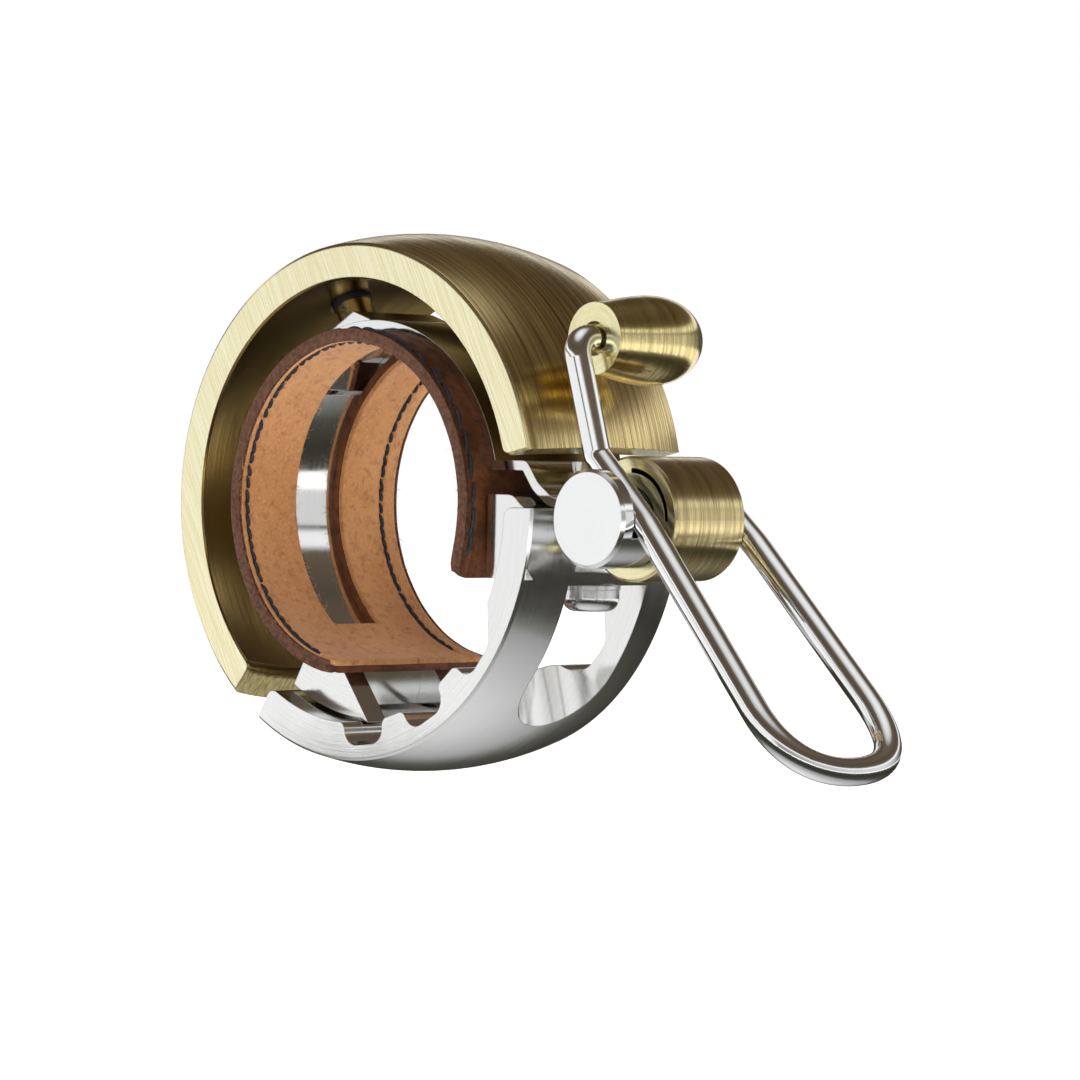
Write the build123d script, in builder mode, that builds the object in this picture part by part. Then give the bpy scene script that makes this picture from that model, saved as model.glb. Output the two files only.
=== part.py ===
from build123d import *
import os
from math import asin, cos, degrees, pi, radians, sin, sqrt

# Bicycle bell that wraps the handlebar: a C-shaped brass ring stands off a leather-lined steel
# strap, the strap hooks into a polished frame under the bar, and a sprung lever with a brass
# barrel hammer strikes the ring.  Millimetres.  The bar runs along Y, -Y is the front, +Z is up
# and +X is the lever side.  The origin is on the bar's axis at mid width.

os.makedirs("parts", exist_ok=True)

# ---------------------------------------------------------------- driving dimensions
bar_radius = 15.9              # handlebar that the lined clamp closes on
lining_thickness = 0.6         # suede against the bar
leather_thickness = 0.7        # smooth leather behind the suede
liner_width = 22.0
liner_bend_start, liner_end = -12.0, 263.4
liner_flap = 3.6               # straight free end below the bend
liner_slot_width = 6.2
liner_slot_start, liner_slot_end = 76.0, 232.0

strap_thickness = 0.95
strap_width = 15.2
strap_end_angle = 251.5
ledge_height = 3.9             # height of the strap's outward ledge
tail_gap = 0.08                # between the tail and the top of the frame

ring_stand = 7.5               # from the strap's outside to the ring's edge
ring_width = 21.2
ring_crown = 1.4               # how far the outside bulges at mid width
ring_wall = 3.6
ring_start, ring_end = 12.2, 229.9
ring_end_round = 0.95
mount_angle = 119.25           # where the ring is screwed to the strap
face_bevel = 0.25

frame_stand = 3.75             # from the strap's outside to the frame's bore
frame_start = 239.5            # angle of the frame's left tip
frame_top = -0.15
pocket_angles = (276.7, 299.4, 322.1)
pocket_depth = 2.2
pocket_radius = 1.65
pocket_half_length = 1.1
flank_top = -9.26              # where the last pocket's straight upper flank leaves the bore
tip_round = 1.05
lug_gap = 0.45                 # seat inside the frame's right-hand end, off the leather
lug_front = 15.6
lug_top, lug_bottom = 1.1, -7.0
lug_width = 20.8
lug_corner = 6.5
window_top = -7.6              # flat seat for the clamp screw's washer
window_radius = 5.5            # round-ended slot, cut straight through the frame
window_center_y = 0.15
window_angle = 285.0           # direction of the cut
window_low = 9.95              # its round end, off the line of the cut through the axis

screw_offset = 1.5             # clamp screw's vertical axis, beyond the frame's bore
screw_radius = 1.45
screw_head_radius = 2.8
screw_head_height = 2.15
screw_hex_across = 2.0
thread_clearance = 0.05
shank_clearance = 0.15
washer_thickness = 0.4
nut_radius = 2.0
nut_bottom, nut_top = 0.35, 3.3

pivot_offset, pivot_z = 8.25, -1.0     # lever's axis, along Y, beyond the ring's edge
drum_radius = 5.98
drum_front, drum_back = -5.6, 4.05
drum_shell = 0.8
drum_plate = 1.3
bearing_radius = 3.1
saddle_front, saddle_back = -4.9, 3.4
saddle_bottom = -6.2

journal_radius = 2.3
running_clearance = 0.04
hub_radius = 4.7
hub_front = -11.5
hub_flange = 1.45
side_gap = 0.1

wire_radius = 1.3
front_leg_offset = 3.1         # how far the front leg passes from the lever's axis
rear_leg_offset = 2.1
front_leg_angle = 45.4         # from straight down, towards +X
rear_leg_angle = 49.7
loop_reach = 27.2              # straight length of the legs beyond their feet
loop_front, loop_rear = -11.6, 2.9
crease_reach = 5.2
hammer_offset, hammer_angle = 7.69, 28.87      # hammer's axis, out from the ring's edge
hammer_front = -6.1
hammer_length = 12.2
hammer_radius = 4.25
hammer_end_radius = 3.5
hammer_bore_depth = 7.0
spigot_radius, spigot_end = 1.5, -9.4
hub_edge = 0.3
hub_grip_front, hub_grip_rear = 3.9, 6.2   # straight length of wire each side of its foot
wire_side_gap = 0.1
elbow_radius, crease_radius, hip_radius = 2.0, 1.5, 9.0
loop_bulge = 8.5
boss_radius = 3.3              # round end of the arbor behind the drum
cap_radius, cap_thickness = 2.6, 0.6
cap_screw_radius, cap_screw_reach = 0.7, 2.0
cap_screw_offset = 1.0         # beside the lever's axis, on the side away from the wire
cap_screw_head, cap_screw_height, cap_screw_socket = 1.35, 0.7, 0.5
bell_head_radius, bell_head_height = 1.9, 1.0

half_width = ring_width / 2
lining_outer = bar_radius + lining_thickness
strap_inner = lining_outer + leather_thickness
strap_outer = strap_inner + strap_thickness
ring_edge_radius = strap_outer + ring_stand    # outer radius at the two faces
frame_bore_radius = strap_outer + frame_stand
pocket_bottom = frame_bore_radius + pocket_depth
lug_inner_radius = strap_inner + lug_gap
screw_x = frame_bore_radius + screw_offset
ledge_reach = frame_bore_radius - 0.3          # where the ledge turns down into the tail
tail_end = ledge_reach + 5.6
pivot_x = ring_edge_radius + pivot_offset
hammer_x = (ring_edge_radius + hammer_offset) * cos(radians(hammer_angle))
hammer_z = (ring_edge_radius + hammer_offset) * sin(radians(hammer_angle))


# ---------------------------------------------------------------- small helpers
def depth(y):
    """Plane at Y = y; its own x and y run along X and Z, and it faces the front."""
    return Plane.XZ.offset(-y)


def radial_plane(angle, y=0.0):
    """Plane through the bar's axis: x runs outward at the angle, y runs along the bar."""
    a = radians(angle)
    return Plane(origin=(0, y, 0), x_dir=(cos(a), 0, sin(a)), z_dir=(-sin(a), 0, cos(a)))


def outward_plane(angle, distance):
    """Plane square to the outward direction at the angle, x tangential, y along the bar."""
    a = radians(angle)
    origin = (distance * cos(a), 0, distance * sin(a))
    return Plane(origin=origin, x_dir=(sin(a), 0, -cos(a)), z_dir=(cos(a), 0, sin(a)))


def polar(radius, angle, along=0.0):
    """Point in the XZ plane at a radius and angle, moved anticlockwise along the tangent."""
    a = radians(angle)
    return (radius * cos(a) - along * sin(a), radius * sin(a) + along * cos(a))


def sector(inner, outer, start, end):
    """Face between two radii and two angles."""
    with BuildSketch(Plane.XY, mode=Mode.PRIVATE) as shape:
        with BuildLine():
            CenterArc((0, 0), outer, start, end - start)
            Line(polar(outer, end), polar(inner, end))
            CenterArc((0, 0), inner, start, end - start)
            Line(polar(inner, start), polar(outer, start))
        make_face()
    return shape.sketch


def bulged(radius, y):
    """Radius of a bulged outside at a distance y from mid width."""
    return radius + ring_crown * (1 - (y / half_width) ** 2)


def save(part, name, color):
    part.label = name
    part.color = Color(*color)
    export_step(part, f"parts/{name}.step")


brass = (0.83, 0.68, 0.36)
steel = (0.72, 0.73, 0.74)
bright = (0.85, 0.86, 0.87)
bronze = (0.60, 0.42, 0.22)
leather = (0.36, 0.20, 0.12)
suede = (0.74, 0.48, 0.30)
nylon = (0.10, 0.10, 0.11)




# ---------------------------------------------------------------- bell ring
bell_screw_radius = 1.0
bell_screw_tap = 2.4           # depth of the tapped hole in the ring
post_radius = 1.9
bush_thickness = 0.6
pad_height = 1.1               # flat raised pad on the strap that carries the ring
pad_length, pad_foot, pad_width = 9.6, 13.2, 11.0
recess_length, recess_foot, recess_width = 7.0, 12.8, 9.0
pad_top = strap_outer + pad_height
pad_floor = pad_top - strap_thickness
ring_inside = ring_edge_radius + ring_crown - ring_wall
ring_seat = ring_inside - 0.15 # small flat spot inside the ring where the post seats

with BuildPart() as bell_ring:
    with BuildSketch(radial_plane(ring_start)):
        with BuildLine():
            inner = ring_edge_radius - ring_wall
            ThreePointArc((ring_edge_radius, -half_width), (ring_edge_radius + ring_crown, 0),
                          (ring_edge_radius, half_width))
            Line((ring_edge_radius, half_width), (inner, half_width))
            ThreePointArc((inner, half_width), (inner + ring_crown, 0), (inner, -half_width))
            Line((inner, -half_width), (ring_edge_radius, -half_width))
        make_face()
    revolve(axis=Axis((0, 0, 0), (0, -1, 0)), revolution_arc=ring_end - ring_start)
    ends = bell_ring.faces().filter_by(GeomType.PLANE).filter_by(
        lambda f: abs(f.normal_at().Y) < 0.5)
    inner_corners = [
        f.edges().sort_by(lambda e: sqrt(e.center().X ** 2 + e.center().Z ** 2))[0] for f in ends]
    fillet(inner_corners, ring_end_round)
    sides = bell_ring.faces().filter_by(GeomType.PLANE).filter_by(
        lambda f: abs(f.normal_at().Y) > 0.9)
    chamfer(sides.edges().filter_by(GeomType.CIRCLE), face_bevel)
    # flat seat and tapped hole for the mounting screw, at the middle of the ring's arc
    with BuildSketch(outward_plane(mount_angle, ring_seat - 2.0)):
        Circle(post_radius + 0.4)
    extrude(amount=2.0 + 0.25, mode=Mode.SUBTRACT)
    with BuildSketch(outward_plane(mount_angle, ring_seat)):
        Circle(bell_screw_radius + thread_clearance)
    extrude(amount=bell_screw_tap + 0.25, mode=Mode.SUBTRACT)
seat_floor = ring_seat + 0.25
save(bell_ring.part, "bell_ring", brass)

# ---------------------------------------------------------------- clamp strap
strap_mid = strap_inner + strap_thickness / 2
ledge_start_angle = degrees(asin(ledge_height / strap_mid))
tail_floor = frame_top + tail_gap
tail_mid = tail_floor + strap_thickness / 2
with BuildPart() as clamp_strap:
    with BuildSketch(depth(-strap_width / 2)):
        add(sector(strap_inner, strap_outer, ledge_start_angle - 1.5, strap_end_angle))
        with BuildLine():
            FilletPolyline((strap_mid * cos(radians(ledge_start_angle)) - 0.4, ledge_height),
                           (ledge_reach, ledge_height), (ledge_reach + 1.5, 1.9),
                           (ledge_reach + 3.6, tail_mid), (tail_end, tail_mid),
                           radius=(0.55, 2.2, 1.9))
            offset(amount=strap_thickness / 2, side=Side.BOTH)
        make_face()
    extrude(amount=-strap_width)
    # raised flat pad that carries the ring
    with BuildSketch(depth(-pad_width / 2)):
        with BuildLine():
            Polyline(polar(strap_inner + 0.1, mount_angle, -pad_foot / 2),
                     polar(pad_top, mount_angle, -pad_length / 2),
                     polar(pad_top, mount_angle, pad_length / 2),
                     polar(strap_inner + 0.1, mount_angle, pad_foot / 2),
                     polar(strap_inner + 0.1, mount_angle, -pad_foot / 2))
        make_face()
    extrude(amount=-pad_width)
    with BuildSketch(depth(-recess_width / 2)):
        with BuildLine():
            Polyline(polar(bar_radius, mount_angle, -recess_foot / 2),
                     polar(strap_inner - 0.6, mount_angle, -recess_foot / 2),
                     polar(pad_floor, mount_angle, -recess_length / 2),
                     polar(pad_floor, mount_angle, recess_length / 2),
                     polar(strap_inner - 0.6, mount_angle, recess_foot / 2),
                     polar(bar_radius, mount_angle, recess_foot / 2),
                     polar(bar_radius, mount_angle, -recess_foot / 2))
        make_face()
    extrude(amount=-recess_width, mode=Mode.SUBTRACT)
    # the pad's foot must not stand inside the strap's bore
    with BuildSketch(depth(-strap_width / 2)):
        Circle(strap_inner)
    extrude(amount=-strap_width, mode=Mode.SUBTRACT)
    with BuildSketch(outward_plane(mount_angle, pad_floor - 1)):
        Circle(bell_screw_radius + shank_clearance)
    extrude(amount=strap_thickness + 2, mode=Mode.SUBTRACT)
    # round hole in the tail for the brazed-in nut
    with BuildSketch(Plane.XY.offset(tail_floor - 1)):
        with Locations((screw_x, 0)):
            Circle(nut_radius)
    extrude(amount=ledge_height + 3, mode=Mode.SUBTRACT)
save(clamp_strap.part, "clamp_strap", bright)

with BuildPart() as clamp_nut:
    with BuildSketch(Plane.XY.offset(nut_bottom)):
        with Locations((screw_x, 0)):
            Circle(nut_radius)
            Circle(screw_radius + thread_clearance, mode=Mode.SUBTRACT)
    extrude(amount=nut_top - nut_bottom)
    chamfer(clamp_nut.faces().sort_by(Axis.Z)[-1].edges(), 0.2)
save(clamp_nut.part, "clamp_nut", steel)

# ---------------------------------------------------------------- hook at the strap's lower end
hook_gap = 0.3                 # to the frame's bore
hook_start, hook_end = 239.6, 268.0
hook_tip_angle, hook_tip_reach = 270.4, 0.1    # into the mouth of the first pocket
cheek_top, cheek_shoulder = strap_inner + 0.15, 258.0
cheek_thickness = 2.6
web_end = 253.5
hook_outer = frame_bore_radius - hook_gap
rivet_radius = 0.9
rivet_angle = 248.0
rivet_spread = 3.4
rivet_length = 2.6
with BuildPart() as strap_hook:
    with BuildSketch(depth(-strap_width / 2)):
        with BuildLine():
            CenterArc((0, 0), hook_outer, hook_start, hook_end - hook_start)
            Polyline(polar(hook_outer, hook_end),
                     polar(frame_bore_radius + hook_tip_reach, hook_tip_angle),
                     polar(cheek_top, cheek_shoulder), polar(cheek_top, strap_end_angle + 0.2),
                     polar(strap_outer, strap_end_angle + 0.2))
            CenterArc((0, 0), strap_outer, hook_start, strap_end_angle + 0.2 - hook_start)
            Line(polar(strap_outer, hook_start), polar(hook_outer, hook_start))
        make_face()
    extrude(amount=-strap_width)
    # the middle is cut back between two cheeks
    web_width = strap_width - 2 * cheek_thickness
    with BuildSketch(depth(-web_width / 2)):
        add(sector(strap_inner - 1, hook_outer + 1, web_end, hook_tip_angle + 3))
    extrude(amount=-web_width, mode=Mode.SUBTRACT)
    for y in (-rivet_spread, rivet_spread):
        with BuildSketch(outward_plane(rivet_angle, strap_outer - 0.5)):
            with Locations((0, y)):
                Circle(rivet_radius)
        extrude(amount=rivet_length - strap_thickness + 0.5, mode=Mode.SUBTRACT)
save(strap_hook.part, "strap_hook", bright)

for side, y in (("front", -rivet_spread), ("rear", rivet_spread)):
    with BuildPart() as hook_rivet:
        with BuildSketch(outward_plane(rivet_angle, strap_outer)):
            with Locations((0, y)):
                Circle(rivet_radius)
        extrude(amount=rivet_length - strap_thickness)
    save(hook_rivet.part, f"hook_rivet_{side}", steel)

# ---------------------------------------------------------------- frame under the bar
pocket_peak = 0.8              # rounding of the ridges between the pockets
drum_screw_y = -2.4
drum_screw_angle = 200.0       # around the lever's axis, pointing into the saddle
drum_screw_radius = 0.8
drum_screw_reach = 8.8
counterbore_radius = 2.3       # room for the foot of the nut
lug_flat_end = frame_bore_radius + 0.3         # the seat's level top curves down from here
lug_end = screw_x + 1.5
lug_bottom_round = 1.6
saddle_inner = screw_x + 1.6
saddle_top = -0.5
cavity_radius = drum_radius - drum_shell
drum_edge = 0.25
slot_radius, slot_width = 4.6, 0.45
slot_start, slot_sweep = -2.0, 92.0
drum_screw_head = 1.4
screw_head_thin = 0.8
spring_radius, spring_wire = 3.3, 0.3
spring_pitch, spring_turns = 0.62, 5
drum_screw_plane = Plane(
    origin=(pivot_x, drum_screw_y, pivot_z),
    z_dir=(cos(radians(drum_screw_angle)), 0, sin(radians(drum_screw_angle))))

with BuildPart() as window_tool:
    with BuildSketch(outward_plane(window_angle, 5.0)):
        with Locations((-window_low - window_radius, window_center_y)):
            Circle(window_radius)
            Rectangle(window_radius * 3, window_radius * 2, align=(Align.MAX, Align.CENTER))
    extrude(amount=30.0)
    split(bisect_by=Plane.XY.offset(window_top), keep=Keep.BOTTOM)

pocket_center_radius = pocket_bottom - pocket_radius
flank_x, flank_z = polar(pocket_center_radius, pocket_angles[-1], pocket_half_length)
with BuildSketch(Plane.XY, mode=Mode.PRIVATE) as pocketed_bore:
    Circle(frame_bore_radius)
    for angle in pocket_angles:
        with Locations(polar(pocket_center_radius, angle)):
            SlotOverall(2 * (pocket_radius + pocket_half_length), 2 * pocket_radius,
                        rotation=angle - 90)
    # the last pocket opens along a straight upper flank
    with BuildLine():
        Polyline((flank_x, flank_top), (sqrt(frame_bore_radius ** 2 - flank_top ** 2), flank_top),
                 (flank_x + pocket_radius, flank_z), (flank_x, flank_z), close=True)
    make_face()
    ridges = pocketed_bore.vertices().filter_by(
        lambda v: abs(sqrt(v.X ** 2 + v.Y ** 2) - frame_bore_radius) < 0.01
        and v.Y < -0.5 * frame_bore_radius)
    fillet(ridges, pocket_peak)

# seat for the strap's tail: stands inside the frame's right-hand end, round-cornered in plan
with BuildPart() as lug:
    with BuildSketch(depth(-lug_width / 2)):
        with BuildLine():
            low, high = (sqrt(lug_inner_radius ** 2 - z ** 2) for z in (lug_bottom, lug_top))
            seat = Polyline((lug_end, frame_top), (lug_end, lug_bottom), (low, lug_bottom))
            ThreePointArc((low, lug_bottom), (lug_inner_radius * cos(radians(10)),
                          -lug_inner_radius * sin(radians(10))), (high, lug_top))
            Line((high, lug_top), (lug_flat_end, lug_top))
            Spline((lug_flat_end, lug_top), (lug_end, frame_top), tangents=((1, 0), (1, 0)))
        profile = make_face()
        inner_corners = profile.vertices().group_by(Axis.Y)
        fillet(inner_corners[0].sort_by(Axis.X)[0], lug_bottom_round)
    extrude(amount=-lug_width)
    with BuildSketch(Plane.XY.offset(lug_bottom - 1)):
        with Locations((lug_front, 0)):
            plan = Rectangle(lug_end - lug_front, lug_width, align=(Align.MIN, Align.CENTER))
        fillet(plan.vertices().group_by(Axis.X)[0], lug_corner)
    extrude(amount=lug_top - lug_bottom + 2, mode=Mode.INTERSECT)

with BuildPart() as frame:
    # side view: flat top, radial tip at the left, pocketed bore
    with BuildSketch(depth(-half_width)):
        add(sector(frame_bore_radius - 1, ring_edge_radius + 2 * ring_crown, frame_start, 360))
        with Locations((ring_edge_radius, frame_top + 5)):
            Rectangle(20, 10, mode=Mode.SUBTRACT)
        add(pocketed_bore.sketch, mode=Mode.SUBTRACT)
    extrude(amount=-ring_width)
    tip_edge = frame.edges().filter_by(Axis.Y).sort_by(Axis.X)[0:2].sort_by(Axis.Z)[-1]
    fillet(tip_edge, tip_round)
    top_edge = frame.faces().sort_by(Axis.Z)[-1].edges().filter_by(Axis.Y).sort_by(Axis.X)[0]
    fillet(top_edge, tip_round)
    # the outside is arched like the ring's, with the same small bevels at the faces
    with BuildSketch(radial_plane(0)):
        with BuildLine():
            ThreePointArc((ring_edge_radius, half_width - face_bevel),
                          (ring_edge_radius + ring_crown, 0),
                          (ring_edge_radius, face_bevel - half_width))
            Polyline((ring_edge_radius, face_bevel - half_width),
                     (ring_edge_radius - face_bevel, -half_width), (0, -half_width),
                     (0, half_width), (ring_edge_radius - face_bevel, half_width),
                     (ring_edge_radius, half_width - face_bevel))
        make_face()
    revolve(axis=Axis((0, 0, 0), (0, 1, 0)), mode=Mode.INTERSECT)
    add(lug.part)
    # saddle that carries the drum
    with BuildSketch(depth(saddle_front)):
        with BuildLine():
            Polyline((saddle_inner, saddle_top), (pivot_x, saddle_top),
                     (pivot_x, saddle_bottom - 0.6), (pivot_x - 2.6, saddle_bottom),
                     (saddle_inner, saddle_bottom), close=True)
        make_face()
        with Locations((pivot_x, pivot_z)):
            Circle(drum_radius, mode=Mode.SUBTRACT)
    extrude(amount=saddle_front - saddle_back)
    add(window_tool.part, mode=Mode.SUBTRACT)
    # clamp screw's bore, wider at the top for the foot of the nut
    with BuildSketch(Plane.XY.offset(window_top - 2)):
        with Locations((screw_x, 0)):
            Circle(screw_radius + shank_clearance)
    extrude(amount=-window_top + 4, mode=Mode.SUBTRACT)
    with BuildSketch(Plane.XY.offset(frame_top)):
        with Locations((screw_x, 0)):
            Circle(counterbore_radius)
    extrude(amount=3, mode=Mode.SUBTRACT)
    # tapped hole for the screw that holds the drum
    with BuildSketch(drum_screw_plane):
        Circle(drum_screw_radius + thread_clearance)
    extrude(amount=drum_screw_reach + 0.4, mode=Mode.SUBTRACT)
save(frame.part, "frame", steel)

# ---------------------------------------------------------------- drum on the saddle
axle = Axis((pivot_x, 0, pivot_z), (0, 1, 0))
axle_plane = Plane((pivot_x, 0, pivot_z))      # x outward, y along the lever's axis
with BuildPart() as drum_housing:
    with BuildSketch(axle_plane):
        with BuildLine():
            Polyline((bearing_radius, drum_front), (drum_radius, drum_front),
                     (drum_radius, drum_back), (cavity_radius, drum_back),
                     (cavity_radius, drum_front + drum_plate),
                     (bearing_radius, drum_front + drum_plate), close=True)
        outline = make_face()
        chamfer(outline.vertices().group_by(Axis.X)[-1], drum_edge)
    revolve(axis=axle)
    # thin curved slot that the spring's leg hooks into
    with BuildSketch(depth(drum_front)):
        with Locations((pivot_x, pivot_z)):
            with BuildLine():
                CenterArc((pivot_x, pivot_z), slot_radius, slot_start, slot_sweep)
            trace(line_width=slot_width)
    extrude(amount=-drum_plate, mode=Mode.SUBTRACT)
    with BuildSketch(drum_screw_plane):
        Circle(drum_screw_radius + shank_clearance)
    extrude(amount=drum_radius, mode=Mode.SUBTRACT)
    with BuildSketch(drum_screw_plane.offset(cavity_radius - screw_head_thin)):
        Circle(drum_screw_head + shank_clearance)
    extrude(amount=screw_head_thin, mode=Mode.SUBTRACT)
save(drum_housing.part, "drum_housing", brass)

with BuildPart() as drum_end_cap:
    with BuildSketch(axle_plane):
        with BuildLine():
            Polyline((bearing_radius, drum_back - drum_plate),
                     (cavity_radius, drum_back - drum_plate),
                     (cavity_radius, drum_back), (bearing_radius, drum_back), close=True)
        make_face()
    revolve(axis=axle)
save(drum_end_cap.part, "drum_end_cap", brass)

bush_front = drum_front + 0.55
for name, y_start, y_end in (("bush_front", bush_front, drum_front + drum_plate + 0.6),
                             ("bush_rear", drum_back - drum_plate, drum_back)):
    with BuildPart() as bush:
        with BuildSketch(axle_plane):
            with BuildLine():
                Polyline((journal_radius, y_start), (bearing_radius, y_start),
                         (bearing_radius, y_end), (journal_radius, y_end), close=True)
            make_face()
        revolve(axis=axle)
    save(bush.part, name, bronze)

with BuildPart() as drum_screw:
    with BuildSketch(drum_screw_plane.offset(cavity_radius - screw_head_thin)):
        Circle(drum_screw_head)
        RegularPolygon(drum_screw_radius * 0.55, 6, mode=Mode.SUBTRACT)
    extrude(amount=screw_head_thin * 0.6)
    with BuildSketch(drum_screw_plane.offset(cavity_radius - screw_head_thin * 0.4)):
        Circle(drum_screw_head)
    extrude(amount=screw_head_thin * 0.4)
    with BuildSketch(drum_screw_plane.offset(cavity_radius)):
        Circle(drum_screw_radius)
    extrude(amount=drum_screw_reach - cavity_radius)
save(drum_screw.part, "drum_screw", steel)

# close-wound coil spring round the arbor
spring_front = bush_front + 2.2
with BuildPart() as return_spring:
    with BuildSketch(axle_plane):
        for turn in range(spring_turns):
            with Locations((spring_radius, spring_front + (turn + 0.5) * spring_pitch)):
                Circle(spring_wire)
        with Locations((spring_radius, spring_front + spring_turns * spring_pitch / 2)):
            Rectangle(spring_wire, (spring_turns - 1) * spring_pitch)
    revolve(axis=axle)
save(return_spring.part, "return_spring", steel)

# ---------------------------------------------------------------- lever: hub, arbor, wire, hammer
front_leg = Vector(sin(radians(front_leg_angle)), 0, -cos(radians(front_leg_angle)))
front_side = Vector(cos(radians(front_leg_angle)), 0, sin(radians(front_leg_angle)))
rear_leg = Vector(sin(radians(rear_leg_angle)), 0, -cos(radians(rear_leg_angle)))
rear_side = Vector(cos(radians(rear_leg_angle)), 0, sin(radians(rear_leg_angle)))
pivot = Vector(pivot_x, 0, pivot_z)
hub_back = drum_front - side_gap - 0.05
boss_front = drum_back + side_gap
boss_back = boss_front + 2 * wire_radius
disc_back = hub_front + hub_flange

with BuildPart() as lever_hub:
    with BuildSketch(axle_plane):
        with BuildLine():
            Polyline((0, hub_front), (hub_radius, hub_front), (hub_radius, hub_back),
                     (spigot_radius, hub_back), (spigot_radius, spigot_end),
                     (0, spigot_end), close=True)
        outline = make_face()
        chamfer(outline.vertices().group_by(Axis.X)[-1].sort_by(Axis.Y)[0], hub_edge)
    revolve(axis=axle)
    # flat behind the disc for the wire's front leg
    flat = Plane(origin=pivot + front_side * (front_leg_offset - wire_radius)
                 + Vector(0, (disc_back + hub_back) / 2, 0), x_dir=front_leg, z_dir=front_side)
    with BuildSketch(flat):
        Rectangle(4 * hub_radius, hub_back - disc_back)
    extrude(amount=hub_radius, mode=Mode.SUBTRACT)
save(lever_hub.part, "lever_hub", bright)

cap_screw_spot = (pivot - rear_side * cap_screw_offset)
cap_screw_spot = (cap_screw_spot.X, cap_screw_spot.Z)
with BuildPart() as arbor:
    shaft = journal_radius - running_clearance
    flange = bearing_radius - side_gap
    for y_start, y_end, radius in ((spigot_end, hub_back, spigot_radius),
                                   (hub_back, bush_front - 0.05, flange),
                                   (bush_front - 0.05, boss_front, shaft)):
        with BuildSketch(depth(y_start)):
            with Locations((pivot_x, pivot_z)):
                Circle(radius)
        extrude(amount=y_start - y_end)
    # round boss behind the drum, with a flat for the wire's rear leg
    flat_offset = rear_leg_offset - wire_radius
    with BuildSketch(depth(boss_front)):
        with Locations(Location((pivot_x, pivot_z), rear_leg_angle)):
            Circle(boss_radius)
            with Locations((flat_offset + boss_radius, 0)):
                Rectangle(2 * boss_radius, 3 * boss_radius, mode=Mode.SUBTRACT)
    extrude(amount=boss_front - boss_back)
    with BuildSketch(depth(boss_back)):
        with Locations(cap_screw_spot):
            Circle(cap_screw_radius + thread_clearance)
    extrude(amount=cap_screw_reach, mode=Mode.SUBTRACT)
save(arbor.part, "arbor", steel)

cap_edge = 0.2
with BuildPart() as rear_cap:
    with BuildSketch(depth(boss_back)):
        with Locations((pivot_x, pivot_z)):
            Circle(cap_radius)
        with Locations(cap_screw_spot):
            Circle(cap_screw_radius + thread_clearance, mode=Mode.SUBTRACT)
    extrude(amount=-cap_thickness)
    chamfer(rear_cap.faces().sort_by(Axis.Y)[-1].edges().sort_by(SortBy.RADIUS)[-1], cap_edge)
save(rear_cap.part, "rear_cap", bright)

with BuildPart() as rear_cap_screw:
    with BuildSketch(depth(boss_back - cap_screw_reach + 0.2)):
        with Locations(cap_screw_spot):
            Circle(cap_screw_radius)
    extrude(amount=-(cap_screw_reach - 0.2 + cap_thickness))
    with BuildSketch(depth(boss_back + cap_thickness)):
        with Locations(cap_screw_spot):
            Circle(cap_screw_head)
    extrude(amount=-cap_screw_height)
    rim = rear_cap_screw.faces().sort_by(Axis.Y)[-1]
    chamfer(rim.edges(), cap_screw_height * 0.4)
    with BuildSketch(depth(boss_back + cap_thickness + cap_screw_height)):
        with Locations(cap_screw_spot):
            RegularPolygon(cap_screw_socket, 6, mode=Mode.ADD)
    extrude(amount=cap_screw_height * 0.6, mode=Mode.SUBTRACT)
save(rear_cap_screw.part, "rear_cap_screw", steel)

# one wire: hammer stub, elbow, crease, front leg, rounded thumb loop, rear leg
front_y = disc_back + wire_radius + wire_side_gap
rear_y = (boss_front + boss_back) / 2
front_foot = pivot + front_side * front_leg_offset
rear_foot = pivot + rear_side * rear_leg_offset
crease = front_foot - front_leg * crease_reach
hammer_axis = Vector(hammer_x, 0, hammer_z)
loop_half = (loop_rear - loop_front) / 2
front_hip = front_foot + front_leg * hub_grip_front
front_turn = front_foot + front_leg * loop_reach
rear_turn = rear_foot + rear_leg * loop_reach
rear_hip = rear_foot + rear_leg * hub_grip_rear
rear_tip = rear_foot - rear_leg * (boss_radius + 0.2)
loop_tip = (front_turn + rear_turn) * 0.5 + (front_leg + rear_leg).normalized() * loop_bulge


def at_depth(point, y):
    return (point.X, y, point.Z)


with BuildPart() as lever_wire:
    with BuildLine() as path:
        upper = FilletPolyline(
            at_depth(hammer_axis, hammer_front + hammer_bore_depth),
            at_depth(hammer_axis, front_y - 0.15), at_depth(crease, front_y),
            at_depth(front_hip, front_y), at_depth(front_turn, loop_front),
            radius=(elbow_radius, crease_radius, hip_radius))
        lower = FilletPolyline(
            at_depth(rear_turn, loop_rear), at_depth(rear_hip, rear_y),
            at_depth(rear_tip, rear_y), radius=hip_radius)
        Spline(upper @ 1, at_depth(loop_tip, (loop_front + loop_rear) / 2), lower @ 0,
               tangents=(upper % 1, lower % 0))
    with BuildSketch(Plane(path.wires()[0] @ 0, z_dir=path.wires()[0] % 0)):
        Circle(wire_radius)
    sweep(transition=Transition.ROUND)
print("wire length", path.wires()[0].length, "volume ratio",
      lever_wire.part.volume / (path.wires()[0].length * pi * wire_radius ** 2))
save(lever_wire.part, "lever_wire", bright)

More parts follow.
